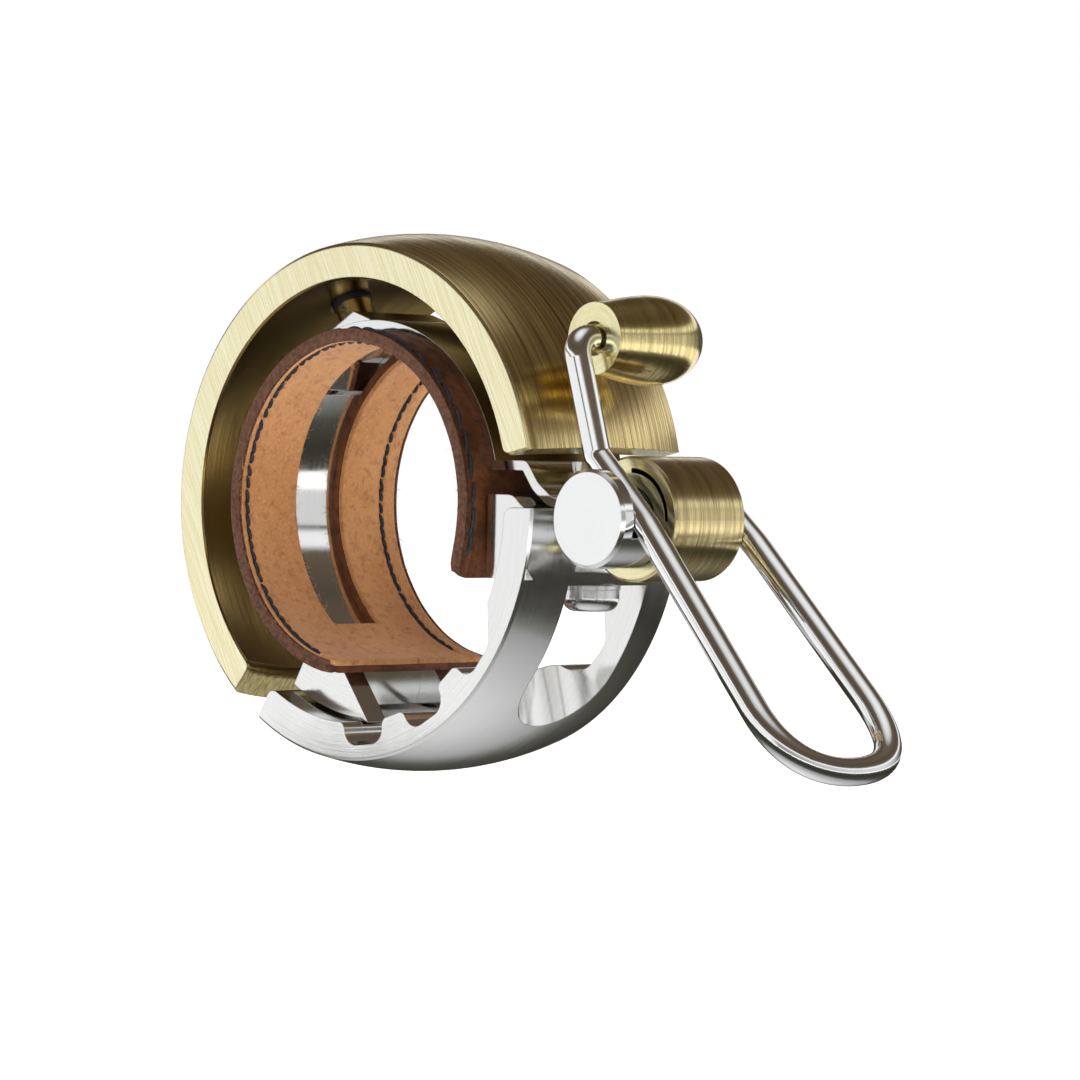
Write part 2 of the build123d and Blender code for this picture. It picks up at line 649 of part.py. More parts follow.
hammer_axle = Axis(at_depth(hammer_axis, 0), (0, 1, 0))
with BuildPart() as hammer:
    with BuildSketch(Plane(at_depth(hammer_axis, hammer_front))):
        with BuildLine():
            bore_end = hammer_bore_depth + 0.1
            outside = Polyline((hammer_end_radius, 0), (0, 0), (0, hammer_length),
                               (hammer_end_radius - 0.7, hammer_length))
            Spline((hammer_end_radius, 0), (hammer_radius, hammer_length * 0.46),
                   (hammer_end_radius - 0.1, hammer_length - 0.8),
                   (hammer_end_radius - 0.7, hammer_length))
        make_face()
    revolve(axis=hammer_axle)
    with BuildSketch(depth(hammer_front)):
        with Locations((hammer_x, hammer_z)):
            Circle(wire_radius + 0.02)
    extrude(amount=-bore_end, mode=Mode.SUBTRACT)
    with BuildSketch(depth(hammer_front)):
        with Locations((hammer_x, hammer_z)):
            Circle(wire_radius + 0.35)
    extrude(amount=-0.8, mode=Mode.SUBTRACT)
save(hammer.part, "hammer", brass)

# ---------------------------------------------------------------- ring's mounting
washer_radius = 2.1
post_levels = (pad_top, pad_top + bush_thickness, seat_floor - bush_thickness, seat_floor)
for name, bottom, top, radius, color in (
        ("isolating_washer_inner", post_levels[0], post_levels[1], washer_radius, nylon),
        ("bell_post", post_levels[1], post_levels[2], post_radius, brass),
        ("isolating_washer_outer", post_levels[2], post_levels[3], washer_radius, nylon)):
    with BuildPart() as spacer:
        with BuildSketch(outward_plane(mount_angle, bottom)):
            Circle(radius)
            Circle(bell_screw_radius + thread_clearance, mode=Mode.SUBTRACT)
        extrude(amount=top - bottom)
    save(spacer.part, name, color)

with BuildPart() as bell_screw:
    with BuildSketch(outward_plane(mount_angle, pad_floor - bell_head_height)):
        Circle(bell_head_radius)
    extrude(amount=bell_head_height)
    fillet(bell_screw.edges().sort_by(
        lambda e: e.center().X * cos(radians(mount_angle)) + e.center().Z
        * sin(radians(mount_angle)))[0], bell_head_height * 0.5)
    with BuildSketch(outward_plane(mount_angle, pad_floor - bell_head_height)):
        Rectangle(2.2 * bell_head_radius, 0.5)
    extrude(amount=0.45, mode=Mode.SUBTRACT)
    with BuildSketch(outward_plane(mount_angle, pad_floor)):
        Circle(bell_screw_radius)
    extrude(amount=seat_floor + bell_screw_tap - 0.3 - pad_floor)
save(bell_screw.part, "bell_screw", steel)

# ---------------------------------------------------------------- clamp screw and washer
with BuildPart() as clamp_screw:
    head_top = window_top - washer_thickness
    with BuildSketch(Plane((screw_x, 0, 0), x_dir=(1, 0, 0), z_dir=(0, -1, 0))):
        with BuildLine():
            Polyline((0, nut_top - 0.2), (screw_radius - 0.3, nut_top - 0.2),
                     (screw_radius, nut_top - 0.5), (screw_radius, head_top),
                     (screw_head_radius, head_top),
                     (screw_head_radius, head_top - screw_head_height),
                     (0, head_top - screw_head_height), close=True)
        outline = make_face()
        fillet(outline.vertices().group_by(Axis.X)[-1].sort_by(Axis.Y)[0],
               screw_head_height * 0.6)
        chamfer(outline.vertices().group_by(Axis.X)[-1].sort_by(Axis.Y)[-1],
                screw_head_height * 0.1)
    revolve(axis=Axis((screw_x, 0, 0), (0, 0, 1)))
    with BuildSketch(Plane.XY.offset(head_top - screw_head_height)):
        with Locations((screw_x, 0)):
            RegularPolygon(screw_hex_across / sqrt(3), 6)
    extrude(amount=1.3, mode=Mode.SUBTRACT)
save(clamp_screw.part, "clamp_screw", steel)

with BuildPart() as clamp_washer:
    with BuildSketch(Plane.XY.offset(head_top)):
        with Locations((screw_x, 0)):
            Circle(screw_head_radius + 0.1)
            Circle(screw_radius + shank_clearance, mode=Mode.SUBTRACT)
    extrude(amount=washer_thickness)
save(clamp_washer.part, "clamp_washer", steel)

# ---------------------------------------------------------------- leather and suede
for name, inner, outer, color in (("outer_leather", lining_outer, strap_inner, leather),
                                  ("suede_lining", bar_radius, lining_outer, suede)):
    with BuildPart() as layer:
        with BuildSketch(depth(-liner_width / 2)):
            add(sector(inner, outer, liner_bend_start, liner_end))
            with BuildLine():
                Polyline(polar(inner, liner_bend_start), polar(outer, liner_bend_start),
                         polar(outer, liner_bend_start, -liner_flap),
                         polar(inner, liner_bend_start, -liner_flap), close=True)
            make_face()
        extrude(amount=-liner_width)
        with BuildSketch(depth(-liner_slot_width / 2)):
            add(sector(inner - 1, outer + 1, liner_slot_start, liner_slot_end))
        extrude(amount=-liner_slot_width, mode=Mode.SUBTRACT)
    save(layer.part, name, color)
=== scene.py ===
import bpy
import math
import random
from mathutils import Matrix, Vector


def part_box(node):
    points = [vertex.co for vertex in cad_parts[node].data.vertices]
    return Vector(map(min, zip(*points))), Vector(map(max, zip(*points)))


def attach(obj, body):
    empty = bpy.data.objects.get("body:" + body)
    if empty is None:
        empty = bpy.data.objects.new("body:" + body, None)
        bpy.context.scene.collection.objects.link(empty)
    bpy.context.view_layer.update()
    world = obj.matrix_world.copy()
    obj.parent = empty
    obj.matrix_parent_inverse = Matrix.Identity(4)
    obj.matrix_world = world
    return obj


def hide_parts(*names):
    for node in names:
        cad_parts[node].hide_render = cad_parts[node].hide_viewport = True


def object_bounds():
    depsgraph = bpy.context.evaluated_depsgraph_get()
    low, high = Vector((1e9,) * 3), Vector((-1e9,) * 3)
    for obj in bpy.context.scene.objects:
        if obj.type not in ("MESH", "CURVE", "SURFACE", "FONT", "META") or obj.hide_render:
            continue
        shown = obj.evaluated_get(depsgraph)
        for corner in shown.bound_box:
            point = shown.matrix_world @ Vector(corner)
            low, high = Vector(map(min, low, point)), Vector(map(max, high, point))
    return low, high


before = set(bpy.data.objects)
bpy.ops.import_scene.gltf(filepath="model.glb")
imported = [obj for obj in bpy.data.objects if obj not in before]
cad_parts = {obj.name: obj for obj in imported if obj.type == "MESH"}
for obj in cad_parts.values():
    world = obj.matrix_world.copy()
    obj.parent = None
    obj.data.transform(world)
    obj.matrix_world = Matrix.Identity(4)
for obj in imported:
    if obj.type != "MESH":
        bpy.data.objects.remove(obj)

cad_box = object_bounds()
random.seed(11)

# ---------------------------------------------------------------- camera and studio
# The bell hangs over a white floor.  A white surround lights its flat faces, and a dark ceiling
# with one pale strip, a wall and a cloth that only the metal sees give the round metal its bands.
camera = bpy.data.cameras.new("camera")
camera.lens = 145.8
camera.sensor_width = 36.0
viewer = bpy.data.objects.new("camera", camera)
bpy.context.collection.objects.link(viewer)
camera_right = Vector((0.70965871, 0.70435896, 0.01621647))
camera_up = Vector((-0.0234765, 0.0006365, 0.9997242))
camera_back = Vector((0.70415436, -0.70984368, 0.0169876))
camera_place = Vector((0.318935, -0.305055, 0.003905))
turn = Matrix((camera_right, camera_up, camera_back)).transposed()
viewer.matrix_world = Matrix.Translation(camera_place) @ turn.to_4x4()
bpy.context.scene.camera = viewer
bpy.context.scene.view_settings.view_transform = "Standard"


def node(tree, kind, inputs=None, **settings):
    """Adds a shader node; an input given as a socket is linked, any other is set."""
    made = tree.nodes.new("ShaderNode" + kind)
    for key, value in settings.items():
        setattr(made, key, value)
    for key, value in (inputs or {}).items():
        if isinstance(value, bpy.types.NodeSocket):
            tree.links.new(value, made.inputs[key])
        else:
            made.inputs[key].default_value = value
    return made


def ramp(tree, value, stops):
    """Colour ramp through (place, colour) stops."""
    made = node(tree, "ValToRGB", {0: value})
    marks = made.color_ramp.elements
    while len(marks) < len(stops):
        marks.new(0.5)
    for mark, (place, colour) in zip(marks, stops):
        mark.position = place
        mark.color = (*colour, 1)
    return made.outputs[0]


def grey(level):
    return (level, level, level)


world = bpy.data.worlds.new("studio")
bpy.context.scene.world = world
world.use_nodes = True
sky = world.node_tree
direction = node(sky, "TexCoord").outputs["Generated"]
height = node(sky, "SeparateXYZ", {0: direction}).outputs["Z"]
height = node(sky, "Math", {0: height, 1: 0.5, 2: 0.5}, operation="MULTIPLY_ADD").outputs[0]
surround = ramp(sky, height, [
    (0.0, grey(1.0)), (0.56, grey(1.0)), (0.58, (0.11, 0.10, 0.09)), (0.615, (0.11, 0.10, 0.09)),
    (0.635, grey(0.98)), (0.685, grey(0.98)), (0.71, (0.13, 0.10, 0.07)),
    (0.84, (0.09, 0.068, 0.048)), (0.93, (0.14, 0.11, 0.08)), (0.97, grey(0.6)),
    (1.0, grey(0.9))])
sky.links.new(surround, sky.nodes["Background"].inputs["Color"])
sky.nodes["Background"].inputs["Strength"].default_value = 1.0


def panel(name, place, size, power):
    """Soft box that faces the bell and stays out of its reflections."""
    light = bpy.data.lights.new(name, "AREA")
    light.shape = "RECTANGLE"
    light.size, light.size_y = size
    light.energy = power
    holder = bpy.data.objects.new(name, light)
    bpy.context.collection.objects.link(holder)
    holder.location = place
    holder.rotation_euler = Vector(place).to_track_quat("Z", "Y").to_euler()
    holder.visible_glossy = False


panel("key_box", (-0.35, -0.75, 0.45), (0.40, 0.30), 3.0)
panel("fill_box", (0.75, -0.45, 0.30), (0.12, 0.60), 1.0)


def stage_mesh(name, points, faces):
    """Piece of the studio, not of the bell."""
    mesh = bpy.data.meshes.new(name)
    mesh.from_pydata(points, [], faces)
    made = bpy.data.objects.new(name, mesh)
    bpy.context.collection.objects.link(made)
    return made


def plain_material(name, colour, glow):
    """Matt cloth or paint, lit from itself."""
    made = bpy.data.materials.new(name)
    made.use_nodes = True
    shader = made.node_tree.nodes["Principled BSDF"]
    shader.inputs["Base Color"].default_value = (*colour, 1)
    shader.inputs["Roughness"].default_value = 0.9
    shader.inputs["Specular IOR Level"].default_value = 0.0
    shader.inputs["Emission Color"].default_value = (*colour, 1)
    shader.inputs["Emission Strength"].default_value = glow
    return made


floor_drop = 0.10
floor_z = cad_box[0][2] - floor_drop
floor_half = 4.0
floor = stage_mesh("floor", [(x, y, floor_z) for x, y in (
    (-floor_half, -floor_half), (floor_half, -floor_half), (floor_half, floor_half),
    (-floor_half, floor_half))], [(0, 1, 2, 3)])
floor.data.materials.append(plain_material("white_floor", grey(0.96), 1.0))


def hidden_flag(made, way, shades):
    """Cloth that only the metal sees; its shades run up its height or round the bell."""
    cloth = plain_material(made.name, grey(0.0), 1.0)
    tree = cloth.node_tree
    coordinates = node(tree, "TexCoord").outputs
    if way == "Z":
        share = node(tree, "SeparateXYZ", {0: coordinates["Generated"]}).outputs["Z"]
    else:
        place = node(tree, "SeparateXYZ", {0: coordinates["Object"]}).outputs
        angle = node(tree, "Math", {0: place["Y"], 1: place["X"]}, operation="ARCTAN2").outputs[0]
        share = node(tree, "Math", {0: angle, 1: 0.5 / math.pi, 2: 0.5},
                     operation="MULTIPLY_ADD").outputs[0]
    tree.links.new(ramp(tree, share, shades),
                   tree.nodes["Principled BSDF"].inputs["Emission Color"])
    made.data.materials.append(cloth)
    made.visible_camera = False
    made.visible_diffuse = False
    made.visible_shadow = False


def turned_cloth(name, rims):
    """Cloth right round the bell, through (radius, height) rims."""
    sides = 96
    turns = [2 * math.pi * k / sides for k in range(sides)]
    points = [(radius * math.cos(turn), radius * math.sin(turn), z)
              for radius, z in rims for turn in turns]
    return stage_mesh(name, points, [
        (sides * level + k, sides * level + (k + 1) % sides,
         sides * (level + 1) + (k + 1) % sides, sides * (level + 1) + k)
        for level in range(len(rims) - 1) for k in range(sides)])


# a dark skirt under the bell, on a tray that is pale in the middle
table_radius, table_top, wall_radius = 0.13, -0.034, 0.60
table_z = floor_z + 0.001
table_flag = turned_cloth("table_flag", [(table_radius, table_z), (table_radius, table_top)])
hidden_flag(table_flag, "Z", [(0.0, (0.24, 0.24, 0.22)), (0.30, (0.07, 0.068, 0.055)),
                              (0.70, (0.035, 0.033, 0.025)), (1.0, (0.07, 0.066, 0.05))])
tray_step = 0.00001     # rise from ring to ring, so that the shade follows the height
table_tray = turned_cloth("table_tray", [
    (radius, table_z + tray_step * level)
    for level, radius in enumerate((0.0005, 0.04, 0.08, table_radius))])
hidden_flag(table_tray, "Z", [(0.0, grey(0.85)), (0.4, grey(0.70)), (1.0, grey(0.32))])
# the wall is white to the left of the camera, grey to its right and dark behind the bell
side_wall = turned_cloth("side_wall", [(wall_radius, -0.06), (wall_radius, 0.13)])
hidden_flag(side_wall, "turn", [
    (0.0, grey(0.93)), (0.27, grey(0.93)), (0.31, grey(0.30)), (0.42, grey(0.42)),
    (0.55, grey(0.62)), (0.63, grey(0.75)), (0.68, grey(0.50)), (0.74, grey(0.10)),
    (0.96, grey(0.07)), (0.99, grey(0.90))])

# ---------------------------------------------------------------- bell ring
# The sounding part: a C of solid brass, turned on a lathe outside and inside, with its two
# flat faces linished straight across and a bright bevel left at their rims.
bar_axis = (0.0, 0.0)
millimetre = 0.001


def blank(name):
    """New material with its node tree and its shader."""
    made = bpy.data.materials.new(name)
    made.use_nodes = True
    return made, made.node_tree, made.node_tree.nodes["Principled BSDF"]


def calc(tree, operation, *values):
    """Sum, product or other operation on values."""
    return node(tree, "Math", dict(enumerate(values)), operation=operation).outputs[0]


def blend(tree, amount, low, high):
    """Mixes two colours."""
    made = node(tree, "Mix", {0: amount}, data_type="RGBA")
    for key, value in ((6, low), (7, high)):
        if isinstance(value, bpy.types.NodeSocket):
            tree.links.new(value, made.inputs[key])
        else:
            made.inputs[key].default_value = (*value, 1)
    return made.outputs[2]


def noise(tree, vector, scale=1.0, detail=2.0, roughness=0.5):
    """Cloudy pattern from 0 to 1."""
    return node(tree, "TexNoise", {"Vector": vector, "Scale": scale, "Detail": detail,
                                   "Roughness": roughness}).outputs["Fac"]


def remap(tree, value, low, high, new_low, new_high):
    """Stretches low..high to new_low..new_high and holds it there."""
    return node(tree, "MapRange", {0: value, 1: low, 2: high, 3: new_low, 4: new_high}).outputs[0]


def lathe_place(tree, axis):
    """Radius, unit direction from an axis along Y, and the place along it."""
    place = node(tree, "SeparateXYZ", {0: node(tree, "TexCoord").outputs["Object"]}).outputs
    out_x = calc(tree, "SUBTRACT", place["X"], axis[0])
    out_z = calc(tree, "SUBTRACT", place["Z"], axis[1])
    radius = calc(tree, "SQRT", calc(tree, "ADD", calc(tree, "MULTIPLY", out_x, out_x),
                                     calc(tree, "MULTIPLY", out_z, out_z)))
    return radius, calc(tree, "DIVIDE", out_x, radius), calc(tree, "DIVIDE", out_z, radius), place


def lathe_lines(tree, axis, width, length, seed=0.0, detail=3.0):
    """Fine rings left by a tool: width of a line in mm, length in radians."""
    radius, side, rise, place = lathe_place(tree, axis)
    along = calc(tree, "MULTIPLY", place["Y"], 1 / (width * millimetre))
    across = calc(tree, "MULTIPLY", radius, 1 / (width * millimetre))
    vector = node(tree, "CombineXYZ", {
        0: calc(tree, "MULTIPLY_ADD", side, 1 / length, seed),
        1: calc(tree, "ADD", along, across),
        2: calc(tree, "MULTIPLY", rise, 1 / length)}).outputs[0]
    return noise(tree, vector, 1.0, detail, 0.6)


def straight_lines(tree, slope, width, length):
    """Fine straight scratches in the XZ plane."""
    place = node(tree, "SeparateXYZ", {0: node(tree, "TexCoord").outputs["Object"]}).outputs
    cross = calc(tree, "ADD", calc(tree, "MULTIPLY", place["X"], math.sin(slope)),
                 calc(tree, "MULTIPLY", place["Z"], -math.cos(slope)))
    run = calc(tree, "ADD", calc(tree, "MULTIPLY", place["X"], math.cos(slope)),
               calc(tree, "MULTIPLY", place["Z"], math.sin(slope)))
    vector = node(tree, "CombineXYZ", {
        0: calc(tree, "MULTIPLY", cross, 1 / (width * millimetre)),
        1: calc(tree, "MULTIPLY", run, 1 / (length * millimetre)),
        2: calc(tree, "MULTIPLY", place["Y"], 1 / (width * millimetre))}).outputs[0]
    return noise(tree, vector, 1.0, 3.0, 0.6)


def end_faces(tree, low, high):
    """1 where the surface faces along the bar, either way."""
    normal = node(tree, "SeparateXYZ", {0: node(tree, "TexCoord").outputs["Normal"]}).outputs
    return remap(tree, calc(tree, "ABSOLUTE", normal["Y"]), low, high, 0.0, 1.0)


def engrave(tree, shader, depth_value, distance, strength=1.0, rim=0.0):
    """Cuts a height into the surface; rim is how far its sharp edges look broken."""
    bump = node(tree, "Bump", {"Height": depth_value, "Distance": distance,
                               "Strength": strength})
    if rim:
        broken = node(tree, "Bevel", {"Radius": rim}, samples=4)
        tree.links.new(broken.outputs[0], bump.inputs["Normal"])
    tree.links.new(bump.outputs[0], shader.inputs["Normal"])


def turned_grain(tree, shader, amount):
    """Stretches the gloss across lines that run round an axis along Y."""
    normal = node(tree, "NewGeometry").outputs["Normal"]
    tangent = node(tree, "VectorMath", {0: normal, 1: (0, 1, 0)}, operation="CROSS_PRODUCT")
    # flat faces square to the axis take a straight grain instead
    slanted = node(tree, "VectorMath", {0: tangent.outputs[0], 1: (0.04, 0, -0.07)},
                   operation="ADD")
    tree.links.new(slanted.outputs[0], shader.inputs["Tangent"])
    shader.inputs["Anisotropic"].default_value = amount


def dress(node_name, material):
    """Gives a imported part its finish."""
    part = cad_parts[node_name]
    for place in part.material_slots:
        place.material = material


face_slope, end_slope = math.radians(-62), math.radians(35)
# the flat faces' cream and straw are paler than the barrel: a painted reflection of the bright front,
# with the real linish lines drawn between the two
face_sheen_cream, face_sheen_straw = (0.96, 0.92, 0.66), (0.84, 0.77, 0.46)
barrel_gold, streak_brown, tarnish_brown = (0.93, 0.76, 0.37), (0.22, 0.13, 0.045), (0.62, 0.44, 0.20)
# the olive for the ring's bore is painted shade: the same brass, drawn darker where it faces the bar
bore_shade_olive, end_dark, end_pale = (0.33, 0.225, 0.06), (0.42, 0.33, 0.12), (0.74, 0.62, 0.30)
ring_brass, tree, shader = blank("ring_brass")
shader.inputs["Metallic"].default_value = 1.0
face = end_faces(tree, 0.75, 0.9)
fine = lathe_lines(tree, bar_axis, 0.13, 0.45)
broad = lathe_lines(tree, bar_axis, 0.40, 0.60, seed=3.0, detail=1.0)
streaks = calc(tree, "ADD", calc(tree, "MULTIPLY", fine, 0.6), calc(tree, "MULTIPLY", broad, 0.4))
linish = straight_lines(tree, face_slope, 0.13, 10.0)
_, side, rise, _ = lathe_place(tree, bar_axis)
normal = node(tree, "SeparateXYZ", {0: node(tree, "TexCoord").outputs["Normal"]}).outputs
outward = calc(tree, "ADD", calc(tree, "MULTIPLY", normal["X"], side),
               calc(tree, "MULTIPLY", normal["Z"], rise))
inside = remap(tree, outward, -0.2, -0.7, 0.0, 1.0)
tarnish = noise(tree, node(tree, "TexCoord").outputs["Object"], 90.0, 3.0)
# faces turned toward the bar blend to the olive: painted shade inside the ring
colour = blend(tree, inside, barrel_gold, bore_shade_olive)
colour = blend(tree, remap(tree, streaks, 0.34, 0.58, 0.95, 0.0), colour, streak_brown)
ends = calc(tree, "MULTIPLY", remap(tree, calc(tree, "ABSOLUTE", outward), 0.3, 0.6, 1.0, 0.0),
            remap(tree, face, 0, 1, 1, 0))
coarse = straight_lines(tree, end_slope, 0.30, 6.0)
sawn = blend(tree, remap(tree, coarse, 0.35, 0.6, 0, 1), end_dark, end_pale)
colour = blend(tree, ends, colour, sawn)
# real linish lines, drawn in the two pale tones of the painted reflection
lined_and_sheen = blend(tree, remap(tree, linish, 0.38, 0.62, 0.0, 1.0), face_sheen_straw, face_sheen_cream)
colour = blend(tree, face, colour, lined_and_sheen)
colour = blend(tree, remap(tree, tarnish, 0.45, 0.75, 0.0, 0.10), colour, tarnish_brown)
tree.links.new(colour, shader.inputs["Base Color"])
grain = node(tree, "Mix", {0: face, 2: streaks, 3: linish}, data_type="FLOAT").outputs[0]
tree.links.new(remap(tree, grain, 0.3, 0.7, 0.26, 0.13), shader.inputs["Roughness"])
engrave(tree, shader, calc(tree, "MULTIPLY", grain, remap(tree, face, 0, 1, 1.0, 0.6)),
        0.03 * millimetre, 0.6, rim=0.15 * millimetre)
turned_grain(tree, shader, 0.45)
dress("bell_ring", ring_brass)

# ---------------------------------------------------------------- hammer
# A barrel of turned brass pressed on the wire's end.  Its outside still shows the lathe's
# rings, its ends are faced off flat.
hammer_low, hammer_high = (Vector(corner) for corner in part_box("hammer"))
hammer_axis = ((hammer_low.x + hammer_high.x) / 2, (hammer_low.z + hammer_high.z) / 2)


def turned_brass(name, axis, gold, dark, line_width, rough_low, rough_high):
    """Brass turned about an axis along the bar; its faced-off ends are blended toward a paler cream, a
    painted reflection.
    """
    # the cream for the flat ends is a painted reflection; the cloud brown is the brass's own tone
    end_sheen_cream, cloud_brown = (0.92, 0.87, 0.55), (0.55, 0.36, 0.14)
    made, tree, shader = blank(name)
    shader.inputs["Metallic"].default_value = 1.0
    fine = lathe_lines(tree, axis, line_width, 0.9)
    broad = lathe_lines(tree, axis, line_width * 4, 1.4, seed=5.0, detail=1.0)
    streaks = calc(tree, "ADD", calc(tree, "MULTIPLY", fine, 0.6),
                   calc(tree, "MULTIPLY", broad, 0.4))
    face = end_faces(tree, 0.85, 0.95)
    colour = blend(tree, remap(tree, streaks, 0.34, 0.60, 0.95, 0.0), gold, dark)
    # flat ends lean toward pale cream: painted reflection
    colour = blend(tree, calc(tree, "MULTIPLY", face, 0.75), colour, end_sheen_cream)
    cloud = noise(tree, node(tree, "TexCoord").outputs["Object"], 160.0, 2.0)
    colour = blend(tree, remap(tree, cloud, 0.5, 0.8, 0.0, 0.12), colour, cloud_brown)
    tree.links.new(colour, shader.inputs["Base Color"])
    tree.links.new(remap(tree, streaks, 0.3, 0.7, rough_high, rough_low),
                   shader.inputs["Roughness"])
    engrave(tree, shader, streaks, 0.02 * millimetre, 0.55, rim=0.12 * millimetre)
    turned_grain(tree, shader, 0.35)
    return made


dress("hammer", turned_brass("hammer_brass", hammer_axis, (0.90, 0.77, 0.38),
                             (0.38, 0.27, 0.10), 0.11, 0.12, 0.24))

# ---------------------------------------------------------------- drum and its end cap
# The drum is a brass cup on the frame's saddle that hides the return spring; a brass disc
# closes it at the back.
drum_low, drum_high = (Vector(corner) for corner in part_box("drum_housing"))
lever_axis = ((drum_low.x + drum_high.x) / 2, (drum_low.z + drum_high.z) / 2)
drum_brass = turned_brass("drum_brass", lever_axis, (0.84, 0.71, 0.38), (0.34, 0.25, 0.11),
                          0.12, 0.15, 0.28)
dress("drum_housing", drum_brass)
dress("drum_end_cap", drum_brass)

# ---------------------------------------------------------------- ring's post
# A short turned brass post between two nylon washers holds the ring off the strap.
post_low, post_high = (Vector(corner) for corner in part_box("bell_post"))
post_axis = ((post_low.x + post_high.x) / 2, (post_low.z + post_high.z) / 2)
dress("bell_post", turned_brass("post_brass", post_axis, (0.80, 0.68, 0.34), (0.45, 0.34, 0.15),
                                0.12, 0.22, 0.36))
nylon, tree, shader = blank("black_nylon")
speckle = noise(tree, node(tree, "TexCoord").outputs["Object"], 2600.0, 3.0)
tree.links.new(blend(tree, speckle, (0.018, 0.018, 0.020), (0.045, 0.045, 0.05)),
               shader.inputs["Base Color"])
tree.links.new(remap(tree, speckle, 0.3, 0.7, 0.42, 0.60), shader.inputs["Roughness"])
engrave(tree, shader, speckle, 0.02 * millimetre)
dress("isolating_washer_inner", nylon)
dress("isolating_washer_outer", nylon)

# ---------------------------------------------------------------- frame and hook
# Both are cast steel, ground and polished bright.  The polishing wheel leaves faint lines round
# the barrel.  The hook is riveted to the strap and catches in one of the frame's pockets.


def polished_steel(name, colour, shadow, rough, line_depth, lines):
    """Bright steel with a faint grain."""
    made, tree, shader = blank(name)
    shader.inputs["Metallic"].default_value = 1.0
    grain = lines(tree)
    smear = noise(tree, node(tree, "TexCoord").outputs["Object"], 140.0, 3.0)
    tint = blend(tree, remap(tree, grain, 0.3, 0.7, 0.12, 0.0), colour, shadow)
    tree.links.new(blend(tree, remap(tree, smear, 0.45, 0.8, 0.0, 0.10), tint, shadow),
                   shader.inputs["Base Color"])
    haze = calc(tree, "ADD", remap(tree, grain, 0.3, 0.7, rough * 0.7, rough * 1.3),
                remap(tree, smear, 0.3, 0.7, -rough * 0.2, rough * 0.2))
    tree.links.new(haze, shader.inputs["Roughness"])
    engrave(tree, shader, grain, line_depth * millimetre, 0.4, rim=0.12 * millimetre)
    return made


cast_steel = polished_steel("cast_steel", (0.88, 0.885, 0.88), (0.60, 0.60, 0.56), 0.15, 0.006,
                            lambda tree: lathe_lines(tree, bar_axis, 0.16, 0.25))
dress("frame", cast_steel)
dress("strap_hook", cast_steel)

# ---------------------------------------------------------------- clamp strap
# Spring steel strip, rolled and polished like a mirror.
strap_steel = polished_steel("strip_steel", (0.86, 0.865, 0.86), (0.60, 0.60, 0.58), 0.09, 0.004,
                             lambda tree: lathe_lines(tree, bar_axis, 0.25, 0.35))
dress("clamp_strap", strap_steel)

# ---------------------------------------------------------------- lever: wire, hub, rear cap
# One bent length of steel wire and the turned discs that clamp it, all chrome plated.
chrome = polished_steel("chrome", (0.93, 0.935, 0.94), (0.70, 0.71, 0.73), 0.055, 0.002,
                        lambda tree: noise(tree, node(tree, "TexCoord").outputs["Object"],
                                           900.0, 3.0))
dress("lever_wire", chrome)
hub_chrome = polished_steel("hub_chrome", (0.94, 0.945, 0.95), (0.72, 0.73, 0.74), 0.12, 0.004,
                            lambda tree: lathe_lines(tree, lever_axis, 0.10, 1.2))
dress("lever_hub", hub_chrome)
dress("rear_cap", hub_chrome)

# ---------------------------------------------------------------- small steel parts
# Screws, nut, washer, rivets and spring are plain zinc-plated steel, with a fine satin
# speckle; the arbor is oil-blackened and its two bushes are sintered bronze.
fastener_steel = polished_steel("fastener_steel", (0.80, 0.80, 0.80), (0.50, 0.50, 0.50), 0.17,
                                0.006, lambda tree: noise(
                                    tree, node(tree, "TexCoord").outputs["Object"], 1500.0, 3.0))
for part_name in ("clamp_screw", "clamp_washer", "clamp_nut", "drum_screw", "rear_cap_screw",
                  "bell_screw", "hook_rivet_front", "hook_rivet_rear", "return_spring"):
    dress(part_name, fastener_steel)
dress("arbor", polished_steel("black_steel", (0.16, 0.16, 0.165), (0.07, 0.07, 0.07), 0.26, 0.006,
                              lambda tree: lathe_lines(tree, lever_axis, 0.12, 0.9)))
sintered = polished_steel("sintered_bronze", (0.58, 0.40, 0.20), (0.30, 0.20, 0.10), 0.34, 0.02,
                          lambda tree: noise(tree, node(tree, "TexCoord").outputs["Object"],
                                             3000.0, 3.0))
dress("bush_front", sintered)
dress("bush_rear", sintered)

# ---------------------------------------------------------------- leather band
# Vegetable-tanned cowhide wrapped round the suede, its long edges bevelled, dyed and burnished
# round, with a slot cut down the middle where the strap shows through.
leather_low, leather_high = (Vector(corner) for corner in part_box("outer_leather"))
suede_low = Vector(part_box("suede_lining")[0])
band_half = (leather_high.y - leather_low.y) / 2
leather_outer = -leather_low.x
leather_inner = -suede_low.x
suede_inner = leather_inner - 0.6 * millimetre
bend_start = math.radians(-12.0)
band_end_angle = math.radians(263.4)
slot_start_angle, slot_end_angle = math.radians(76.0), math.radians(232.0)
slot_half = 3.1 * millimetre
flap_length = 3.6 * millimetre
inside_rows = (-9.9 * millimetre, 8.7 * millimetre)
outside_rows = (-10.1 * millimetre, 10.0 * millimetre)
measure_radius = leather_inner     # the length along the band is measured at this radius


def on_band(radius, along, y):
    """Point on the band: it runs straight below the bend and round the bar above it."""
    if along < 0:
        angle, extra = bend_start, along
    else:
        angle, extra = bend_start + along / measure_radius, 0.0
    return Vector((radius * math.cos(angle) - extra * math.sin(angle), y,
                   radius * math.sin(angle) + extra * math.cos(angle)))


def spread(start, end, step):
    """Even places from start to end, about a step apart."""
    count = max(1, round((end - start) / step))
    return [start + (end - start) * k / count for k in range(count + 1)]


band_length = (band_end_angle - bend_start) * measure_radius
slot_low = (slot_start_angle - bend_start) * measure_radius
slot_high = (slot_end_angle - bend_start) * measure_radius
groove_half = 0.34 * millimetre
lip_width = 0.32 * millimetre


